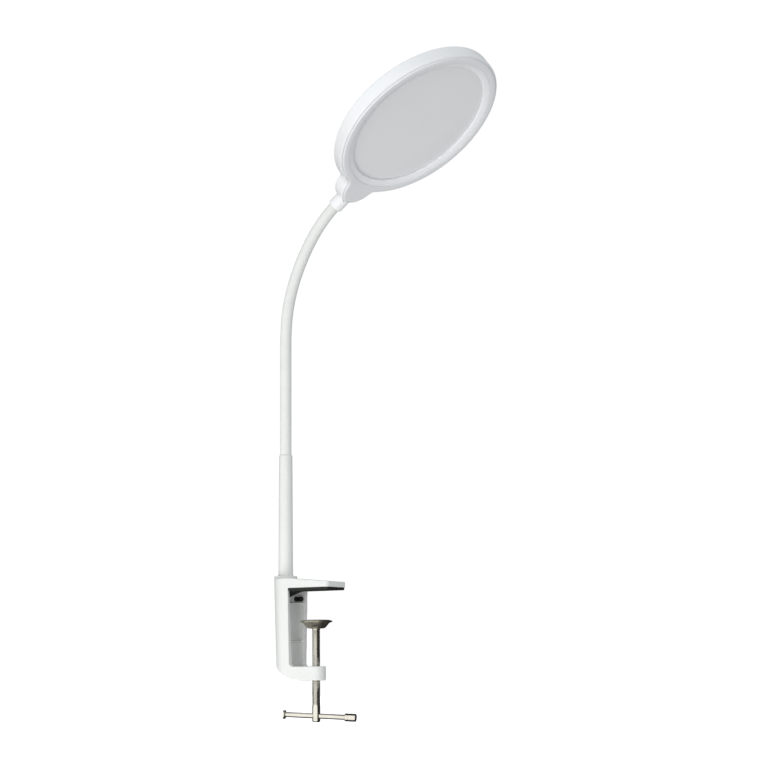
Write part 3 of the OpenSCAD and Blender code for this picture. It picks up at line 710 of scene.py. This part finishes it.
def build_pole():
    """Slightly tapered tube with a low ring at its foot."""
    low = pole_low.z / MM
    high = pole_high.z / MM
    section = rounded([
        (POLE_BORE_R, low, 0),
        (POLE_FOOT_R + 0.4, low, 0.1),
        (POLE_FOOT_R + 0.4, low + 1.4, 0.3),
        (POLE_FOOT_R, low + 1.7, 0.1),
        (POLE_TOP_R, high, 0.9),
        (POLE_BORE_R, high, 0.2),
    ])
    add_piece(lathe("pole", section, POLE), "root", "pole", ["pole_tube"])


def build_screw():
    """Threaded shank with a plain end, a necked ball at the top and the cross hole."""
    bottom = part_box("clamp_screw")[0].z / MM
    plain_end = bottom + SCREW_PLAIN
    shank_top = BALL_Z - 2.7
    thread_end = shank_top - 1.0
    section = [(0, bottom)]
    for k in range(7):
        a = math.radians(90 * k / 6)
        r = SCREW_R - SCREW_END_R + SCREW_END_R * math.sin(a)
        section.append((r, bottom + SCREW_END_R - SCREW_END_R * math.cos(a)))
    section.append((SCREW_R, plain_end - 0.2))
    step = THREAD_PITCH / THREAD_STEPS
    count = int((thread_end - plain_end) / step)
    section += [(SCREW_R, plain_end + step * k) for k in range(count + 1)]
    section.append((SCREW_R - 0.1, shank_top - 0.5))
    section.append((SCREW_R - 0.6, shank_top))
    section.append((BALL_NECK_R, shank_top + 0.1))
    section.append((BALL_NECK_R, BALL_Z - math.sqrt(BALL_R**2 - BALL_NECK_R**2)))
    start = math.asin(BALL_NECK_R / BALL_R)
    for k in range(1, 12):
        a = start + (math.pi - start) * k / 12
        section.append((BALL_R * math.sin(a), BALL_Z - BALL_R * math.cos(a)))
    section.append((0, BALL_Z + BALL_R))
    obj = lathe("clamp_screw_threaded", section, SCREW, 48, closed=False)
    cut_thread(obj.data, plain_end * MM, thread_end * MM)
    hole = cylinder("bar_hole", BAR_HOLE_R, -2 * SCREW_R, 2 * SCREW_R, BAR, 40)
    cut(obj, hole, THREAD_SHARP)
    add_piece(obj, "screw", "nickel", ["clamp_screw"])


def cut_thread(mesh, thread_low, thread_high):
    """Presses a one-start groove into the shank, faded out at both of its ends, in metres."""
    for v in mesh.vertices:
        x, y, z = v.co
        if not thread_low <= z <= thread_high:
            continue
        turn = math.atan2(y, x) / (2 * math.pi)
        phase = (z / MM / THREAD_PITCH - turn) % 1.0
        groove = 1 - abs(2 * phase - 1)
        fade = min(1.0, (z - thread_low) / (3 * MM), (thread_high - z) / (1.5 * MM))
        scale = 1 - THREAD_DEPTH * groove * max(0.0, fade) / SCREW_R
        v.co.x, v.co.y = x * scale, y * scale
    finish_shading(mesh, THREAD_SHARP)


def build_plate():
    """Pressed plate: flat face, thin flared rim and a hub swaged round the screw's ball."""
    top = BALL_Z + PLATE_OVER_BALL
    section = rounded([
        (0, top, 0),
        (PLATE_R - 3.4, top, 1.2),
        (PLATE_R, top - 1.0, 0.35),
        (PLATE_R - 0.4, top - 1.9, 0.3),
        (PLATE_R - 3.4, top - 3.1, 1.2),
        (11.4, top - 5.2, 1.6),
        (9.3, top - 7.6, 0.7),
        (7.6, top - 8.3, 0.5),
        (5.0, top - 8.25, 0.2),
        (5.66, top - 6.9, 0.2),
        (5.66, top - 3.6, 0.8),
        (4.4, top - 1.3, 0.6),
        (0, top - 1.15, 0),
    ], 4)
    obj = lathe("pressure_plate_pressed", section, SCREW, 96, closed=False, sharp=45.0)
    add_piece(obj, "plate", "plate_steel", ["pressure_plate"])


def build_bar():
    """Loose bar with a flange at one end, and the grooved cap pressed on the other."""
    low = BAR_FLANGE_END
    high = BAR_CAP_END
    section = rounded([
        (0, low, 0),
        (BAR_FLANGE_R, low, 0.4),
        (BAR_FLANGE_R, low + 1.8, 0.5),
        (BAR_R + 0.4, low + 2.1, 0.2),
        (BAR_R, low + 3.0, 0.4),
        (BAR_R, high - BAR_CAP_DEPTH, 0),
        (0, high - BAR_CAP_DEPTH, 0),
    ], 4)
    bar = lathe("tommy_bar_round", section, BAR, 64, closed=False)
    add_piece(bar, "bar", "nickel", ["tommy_bar"])
    section = rounded([
        (BAR_R, high - 11.2, 0.1),
        (BAR_CAP_R, high - 11.2, 0.7),
        (BAR_CAP_R, high - 8.4, 0.1),
        (BAR_CAP_GROOVE_R, high - 8.1, 0.1),
        (BAR_CAP_GROOVE_R, high - 7.6, 0.1),
        (BAR_CAP_R, high - 7.3, 0.1),
        (BAR_CAP_R, high, 0.8),
        (0, high, 0),
        (0, high - BAR_CAP_DEPTH, 0),
        (BAR_R, high - BAR_CAP_DEPTH, 0),
    ], 4)
    cap = lathe("tommy_bar_end_cap", section, BAR, 64)
    add_piece(cap, "bar", "nickel", ["tommy_bar_cap"])


# ---------------------------------------------------------------- arm sleeve


def build_sleeve():
    """One smooth sleeve, in a length for each joint."""
    arm = sorted(
        (j for name, j in joints.items() if name.startswith("arm_")),
        key=lambda j: int(j["name"].rsplit("_", 1)[1]),
    )
    places = [Vector(j["pos_m"]) for j in arm]
    foot = Vector((pole_x, 0, pole_high.z))
    end = places[-1] + head_along * (NECK_REACH - FERRULE_END - 0.05) * MM
    mids = [foot] + [(a + b) / 2 for a, b in zip(places, places[1:])] + [end]
    travelled = 0.0
    for i, j in enumerate(arm):
        start, middle, stop = mids[i], places[i], mids[i + 1]
        vertices, outside, inside = [], [], []
        last = start
        for k in range(SLEEVE_RINGS + 1):
            t = k / SLEEVE_RINGS
            point = start * (1 - t) ** 2 + middle * 2 * t * (1 - t) + stop * t**2
            along = ((middle - start) * (1 - t) + (stop - middle) * t).normalized()
            travelled += (point - last).length / MM
            last = point
            side = Y_AXIS.cross(along)
            for rows, radius, ripple in ((outside, SLEEVE_R, RIPPLE), (inside, SLEEVE_INNER_R, 0)):
                row = []
                for m in range(SLEEVE_SIDES):
                    a = 2 * math.pi * m / SLEEVE_SIDES
                    phase = 2 * math.pi * travelled / RIPPLE_PITCH + 2 * a
                    reach = radius + ripple * (math.sin(phase) - 1)
                    offset = (side * math.cos(a) + Y_AXIS * math.sin(a)) * reach
                    row.append(len(vertices))
                    vertices.append(tuple(point / MM + offset))
                rows.append(row)
        name = f"arm_sleeve_{i + 1:02d}"
        faces = skin(outside + inside[::-1], True)
        obj = make_object(name, vertices, faces, Matrix.Identity(4))
        nodes = ["sleeve_base"] if i == 0 else [f"sleeve_{i}"]
        if i == len(arm) - 1:
            nodes.append("sleeve_end")
        obj.data.materials.append(MATERIALS["arm_sleeve"])
        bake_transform(obj)
        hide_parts(*nodes)


# ---------------------------------------------------------------- head


def quarter(inset, z, radius, start, end, steps=6):
    """Arc of (inset, height) points about a corner's centre, angles in degrees."""
    points = []
    for k in range(steps + 1):
        a = math.radians(start + (end - start) * k / steps)
        points.append((inset - radius * math.cos(a), z + radius * math.sin(a)))
    return points


BEZEL_EDGE = quarter(BEZEL_EDGE_R, BEZEL_EDGE_R, BEZEL_EDGE_R, -90, 0)


def build_shell():
    """Rear shell: rounded wall, back plate with its screw recesses, and the lens well."""
    inner = HEAD_T - BACK_PLATE_T
    low_arc = quarter(SHELL_ROUND, SHELL_FRONT + SHELL_ROUND, SHELL_ROUND, -87, 0, 8)
    high_arc = quarter(SHELL_ROUND, HEAD_T - SHELL_ROUND, SHELL_ROUND, 0, 90, 8)
    loops = [(keyhole(SHELL_WALL), inner), (keyhole(SHELL_WALL), SHELL_FRONT + 0.1)]
    loops += [(keyhole(i), z) for i, z in low_arc + high_arc]
    loops += [
        (keyhole(BACK_INSET), HEAD_T),
        (circle_loop(WELL_R + 0.5), HEAD_T),
        (circle_loop(WELL_R + 0.15), HEAD_T - 0.15),
        (circle_loop(WELL_R), HEAD_T - 0.5),
        (circle_loop(WELL_R), WELL_TOP),
        (circle_loop(WELL_R + WELL_WALL), WELL_TOP),
        (circle_loop(WELL_R + WELL_WALL), inner),
        (keyhole(BACK_INSET), inner),
    ]
    shell = loft("head_shell", loops, HEAD)
    cutters = []
    for a in SCREW_ANGLES:
        turn = HEAD @ Matrix.Rotation(math.radians(a), 4, "Z")
        place = turn @ Matrix.Translation(Vector((SCREW_CIRCLE_R * MM, 0, 0)))
        cutters.append(
            cylinder("recess", RECESS_R, HEAD_T - RECESS_DEPTH, HEAD_T + 1, place, 40)
        )
    place = HEAD @ Matrix.Translation(Vector((BUTTON_X * MM, 0, 0)))
    cutters.append(cylinder("recess", BUTTON_R + 0.35, inner - 1, HEAD_T + 1, place))
    cut(shell, join(cutters, "recesses"))
    add_piece(shell, "head", "head_white", ["rear_shell"])
    for side, label in ((-1, "a"), (1, "b")):
        build_lug(side, label)


def build_lug(side, label):
    """One of the two ears that hold the cover's hinge pin."""
    middle = side * (KNUCKLE_HALF + LUG_GAP + LUG_W / 2)
    outline = [(HINGE_X + KNUCKLE_R, HEAD_T - 0.4)]
    for k in range(17):
        a = math.radians(180 * k / 16)
        outline.append((HINGE_X + KNUCKLE_R * math.cos(a), HINGE_Z + KNUCKLE_R * math.sin(a)))
    outline.append((HINGE_X - KNUCKLE_R, HEAD_T - 0.4))
    ends = [[(x, middle + s * LUG_W / 2, z) for x, z in outline] for s in (-1, 1)]
    obj = round_edges(prism(f"hinge_lug_{label}", ends, HEAD), 0.35)
    cut(obj, cylinder("pin_hole", LUG_HOLE_R, -20, 20, HINGE, 40))
    add_piece(obj, "head", "head_white")


def build_bezel():
    """Front bezel: flat lip round the light ring, the lobe's face, a step under the shell's rim."""
    step = SHELL_WALL + 0.06
    loops = [
        (circle_loop(BEZEL_OPENING_R), BEZEL_T),
        (circle_loop(BEZEL_OPENING_R), 0.25),
        (circle_loop(BEZEL_OPENING_R + 0.08), 0.07),
        (circle_loop(BEZEL_OPENING_R + 0.25), 0.0),
        (keyhole(BEZEL_FLAT_INSET), 0.0),
    ]
    loops += [(keyhole(BEZEL_INSET + i), z) for i, z in BEZEL_EDGE]
    loops += [
        (keyhole(BEZEL_INSET), SHELL_FRONT - 0.1),
        (keyhole(step), SHELL_FRONT + 0.05),
        (keyhole(step), BEZEL_T),
        (keyhole(BEZEL_FLAT_INSET), BEZEL_T),
    ]
    obj = loft("front_bezel_face", loops, HEAD)
    add_piece(obj, "head", "bezel_white", ["front_bezel"])


def build_light_ring():
    """Sloped opal ring with a skirt round the lens's edge."""
    section = rounded([
        (LIGHT_RING_R, 0.25, 0.1),
        (LIGHT_RING_R, 2.1, 0),
        (LIGHT_RING_R + 1.1, 2.55, 0.1),
        (LIGHT_RING_R + 1.1, 3.2, 0.1),
        (LIGHT_RING_R - 0.5, 3.2, 0),
        (LENS_R + 0.8, 4.6, 0),
        (LENS_R + 0.8, 7.7, 0.1),
        (LENS_R + 0.25, 7.7, 0.1),
        (LENS_R + 0.25, 4.7, 0),
        (APERTURE_R, 4.7, 0.05),
        (APERTURE_R, 2.7, 0.45),
    ], 4)
    obj = lathe("light_ring", section, HEAD, 240)
    add_piece(obj, "head", "diffuser", ["light_diffuser"])


def dome(radius, sag, steps, base, up):
    """Points of a shallow dome's section, from the axis to its edge."""
    ball = (radius**2 + sag**2) / (2 * sag)
    points = []
    for k in range(steps + 1):
        x = radius * k / steps
        points.append((x, base + up * (sag - ball + math.sqrt(ball**2 - x**2))))
    return points


def build_lens():
    """Lens with a flatter front and a deeper back, and a plain edge between them."""
    front = dome(LENS_R, LENS_SAGS[0], 20, LENS_EDGE[0], -1)
    back = dome(LENS_R, LENS_SAGS[1], 36, LENS_EDGE[1], 1)
    obj = lathe("lens_polished", front + back[::-1], HEAD, 180, closed=False)
    add_piece(obj, "head", "lens_glass", ["lens"])


def build_cover():
    """Lens cover: shallow dome with a rounded rim, and its knuckle and thumb tab."""
    crown = COVER_LOW + COVER_RIM + COVER_DOME
    ball = (COVER_R**2 + COVER_DOME**2) / (2 * COVER_DOME)
    rim = COVER_EDGE_R
    outer, inner = [], []
    for k in range(29):
        x = (COVER_R - rim) * k / 28
        outer.append((x, crown - ball + math.sqrt(ball**2 - x**2)))
        x = (COVER_R - COVER_T) * k / 28
        inner.append((x, crown - ball + math.sqrt((ball - COVER_T) ** 2 - x**2)))
    top = outer[-1][1]
    edge = []
    for k in range(1, 7):
        a = math.radians(90 - 90 * k / 6)
        edge.append((COVER_R - rim + rim * math.cos(a), top - rim + rim * math.sin(a)))
    foot = [(COVER_R, COVER_LOW + 0.2), (COVER_R - 0.2, COVER_LOW), (COVER_R - COVER_T, COVER_LOW)]
    section = outer + edge + foot + inner[::-1]
    shell = lathe("lens_cover_dome", section, HEAD, 240, closed=False)
    add_piece(shell, "cover", "cover_white", ["lens_cover"])
    build_knuckle()
    build_tab()


def build_knuckle():
    """The cover's barrel round the hinge pin, and the web that joins it to the dome."""
    section = rounded([
        (KNUCKLE_HOLE_R, -KNUCKLE_HALF, 0.1),
        (KNUCKLE_R, -KNUCKLE_HALF, 0.35),
        (KNUCKLE_R, KNUCKLE_HALF, 0.35),
        (KNUCKLE_HOLE_R, KNUCKLE_HALF, 0.1),
    ], 4)
    barrel = lathe("cover_knuckle_barrel", section, HINGE, 64)
    add_piece(barrel, "cover", "cover_white")
    web = bevelled_box(
        "cover_knuckle_web",
        (3.6, 2 * KNUCKLE_HALF - 0.4, 1.6),
        (HINGE_X + 2.9, 0, COVER_LOW + 1.0),
        HEAD,
    )
    add_piece(web, "cover", "cover_white")


def build_tab():
    """Thumb tab at the cover's free edge: a rounded tongue."""
    base = COVER_LOW + 0.3
    outline = [(COVER_R - 0.6, -7.0)]
    for k in range(13):
        a = math.radians(-62 + 124 * k / 12)
        outline.append((COVER_R - 3.0 + 8.0 * math.cos(a), 7.9 * math.sin(a)))
    outline.append((COVER_R - 0.6, 7.0))
    ends = [[(x, y, base + h) for x, y in outline] for h in (0, TAB_T)]
    obj = round_edges(prism("cover_thumb_tab", ends, HEAD), 0.4)
    finish_shading(obj.data, SHARP)
    add_piece(obj, "cover", "cover_white")


def build_button():
    """Push button with a dished top, a flange under the back plate and a stem on the switch."""
    top = HEAD_T + 1.4
    under = HEAD_T - 2.5
    section = rounded([
        (0, BUTTON_STEM_LOW, 0),
        (BUTTON_STEM_R, BUTTON_STEM_LOW, 0.2),
        (BUTTON_STEM_R, under, 0),
        (BUTTON_FLANGE_R, under, 0.1),
        (BUTTON_FLANGE_R, under + 0.4, 0.1),
        (BUTTON_R, under + 0.4, 0),
        (BUTTON_R, top, 0.7),
        (3.6, top - 0.05, 0.5),
        (0, top - 0.45, 0),
    ], 4)
    place = HEAD @ Matrix.Translation(Vector((BUTTON_X * MM, 0, 0)))
    obj = lathe("push_button_cap", section, place, 64, closed=False)
    add_piece(obj, "button", "button_grey", ["power_button"])


def build_ferrule():
    """Collar on the neck, rounded at its end and fitted to the wall and lip of the lobe."""
    lip = LOBE_R - BEZEL_INSET + FERRULE_GAP
    wall = LOBE_R + FERRULE_GAP
    lobe = HEAD @ Matrix.Translation(Vector((-LOBE_OFFSET * MM, 0, 0)))
    neck = (
        lobe
        @ Matrix.Translation(Vector((0, 0, HEAD_T / 2 * MM)))
        @ Matrix.Rotation(math.radians(-90), 4, "Y")
    )
    section = rounded([
        (FERRULE_BORE_R, LOBE_R - FERRULE_FOOT, 0),
        (FERRULE_R, LOBE_R - FERRULE_FOOT, 0),
        (FERRULE_R, FERRULE_END, 1.1),
        (FERRULE_SOCKET_R, FERRULE_END, 0.2),
        (FERRULE_SOCKET_R, FERRULE_SOCKET_LOW, 0),
        (FERRULE_BORE_R, FERRULE_SOCKET_LOW, 0),
    ])
    collar = lathe("neck_collar", section, neck)
    profile = [(0, -FERRULE_GAP)] + [(lip - i, z) for i, z in BEZEL_EDGE]
    profile += [(lip, SHELL_FRONT), (wall, SHELL_FRONT), (wall, HEAD_T + 1), (0, HEAD_T + 1)]
    cut(collar, lathe("lobe_body", profile, lobe, 160, closed=False))
    add_piece(collar, "head", "head_white", ["neck_ferrule"])


# ---------------------------------------------------------------- stage, light and camera


def build_stage():
    """Plain white floor that only the camera sees, so that it neither lights nor mirrors."""
    mesh = bpy.data.meshes.new("floor")
    corners = [(-1, -1), (1, -1), (1, 1), (-1, 1)]
    points = [(x * FLOOR_HALF, y * FLOOR_HALF, FLOOR_Z) for x, y in corners]
    mesh.from_pydata(points, [], [(0, 1, 2, 3)])
    floor = bpy.data.objects.new("floor", mesh)
    bpy.context.scene.collection.objects.link(floor)
    n = Nodes("floor_white")
    n.blend(n.noise(3, 2), (0.86, 0.86, 0.86), (0.88, 0.88, 0.88))
    n.value("Roughness", 0.9)
    n.value("Emission Color", (1, 1, 1, 1))
    n.value("Emission Strength", FLOOR_GLOW)
    mesh.materials.append(n.material)
    floor.visible_diffuse = False
    floor.visible_glossy = False
    floor.visible_shadow = False


def build_world():
    """White for the camera; a soft tent for light; a dark side for reflections, as in a studio."""
    world = bpy.data.worlds.new("studio")
    bpy.context.scene.world = world
    world.use_nodes = True
    tree = world.node_tree
    tree.nodes.clear()
    link = tree.links.new
    coords = tree.nodes.new("ShaderNodeTexCoord")
    path = tree.nodes.new("ShaderNodeLightPath")

    def sky(direction, strength, span, colour):
        """Light whose strength grows along a direction, over a span of its cosine."""
        dot = tree.nodes.new("ShaderNodeVectorMath")
        dot.operation = "DOT_PRODUCT"
        dot.inputs[1].default_value = Vector(direction).normalized()
        ramp = tree.nodes.new("ShaderNodeMapRange")
        ramp.inputs["From Min"].default_value = span[0]
        ramp.inputs["From Max"].default_value = span[1]
        ramp.inputs["To Min"].default_value = strength[0]
        ramp.inputs["To Max"].default_value = strength[1]
        shader = tree.nodes.new("ShaderNodeBackground")
        shader.inputs["Color"].default_value = (*colour, 1)
        link(coords.outputs["Generated"], dot.inputs[0])
        link(dot.outputs["Value"], ramp.inputs["Value"])
        link(ramp.outputs["Result"], shader.inputs["Strength"])
        return shader.outputs["Background"]

    def choose(ray, other, chosen):
        """The chosen light for one kind of ray, and the other for the rest."""
        mix = tree.nodes.new("ShaderNodeMixShader")
        link(path.outputs[ray], mix.inputs["Fac"])
        link(other, mix.inputs[1])
        link(chosen, mix.inputs[2])
        return mix.outputs["Shader"]

    tent = sky(TENT_SIDE, TENT_RANGE, TENT_SPAN, TENT_COLOUR)
    mirrored = sky(MIRROR_SIDE, MIRROR_RANGE, MIRROR_SPAN, WARM_WHITE)
    seen = sky((0, 0, 1), (BACKDROP, BACKDROP), (-1.0, 1.0), (1, 1, 1))
    lighting = choose("Is Glossy Ray", tent, mirrored)
    out = tree.nodes.new("ShaderNodeOutputWorld")
    link(choose("Is Camera Ray", lighting, seen), out.inputs["Surface"])


def add_light(name, side, power, colour):
    """A soft square light on one side of the object, aimed at its middle."""
    aim = Vector(LIGHT_AIM)
    place = aim + Vector(side).normalized() * LIGHT_DISTANCE
    data = bpy.data.lights.new(name, "AREA")
    data.shape = "RECTANGLE"
    data.size, data.size_y = LIGHT_SIZE
    data.energy = power
    data.color = colour
    obj = bpy.data.objects.new(name, data)
    obj.location = place
    obj.rotation_euler = (aim - place).to_track_quat("-Z", "Y").to_euler()
    obj.visible_glossy = False
    bpy.context.scene.collection.objects.link(obj)


def build_camera():
    """Placed at the photograph's viewing angle."""
    azimuth = math.radians(CAMERA_AZIMUTH)
    pitch = math.radians(CAMERA_PITCH)
    roll = math.radians(CAMERA_ROLL)
    ahead = Vector((
        -math.sin(azimuth) * math.cos(pitch),
        math.cos(azimuth) * math.cos(pitch),
        math.sin(pitch),
    ))
    right = ahead.cross(Vector((0, 0, 1))).normalized()
    up = right.cross(ahead)
    turned_right = right * math.cos(roll) + up * math.sin(roll)
    turned_up = up * math.cos(roll) - right * math.sin(roll)
    data = bpy.data.cameras.new("camera")
    data.sensor_width = CAMERA_SENSOR
    data.lens = CAMERA_LENS
    data.clip_start, data.clip_end = CAMERA_CLIP
    obj = bpy.data.objects.new("camera", data)
    obj.matrix_world = frame_matrix(turned_right, turned_up, -ahead, Vector(CAMERA_PLACE))
    bpy.context.scene.collection.objects.link(obj)
    bpy.context.scene.camera = obj


build_camera()
build_clamp()
build_pole()
build_screw()
build_plate()
build_bar()
build_sleeve()
build_shell()
build_bezel()
build_light_ring()
build_lens()
build_cover()
build_button()
build_ferrule()
build_stage()
build_world()
add_light("key", KEY_SIDE, KEY_POWER, WARM_WHITE)
add_light("fill", FILL_SIDE, FILL_POWER, COOL_WHITE)
bpy.context.scene.view_settings.view_transform = "Standard"
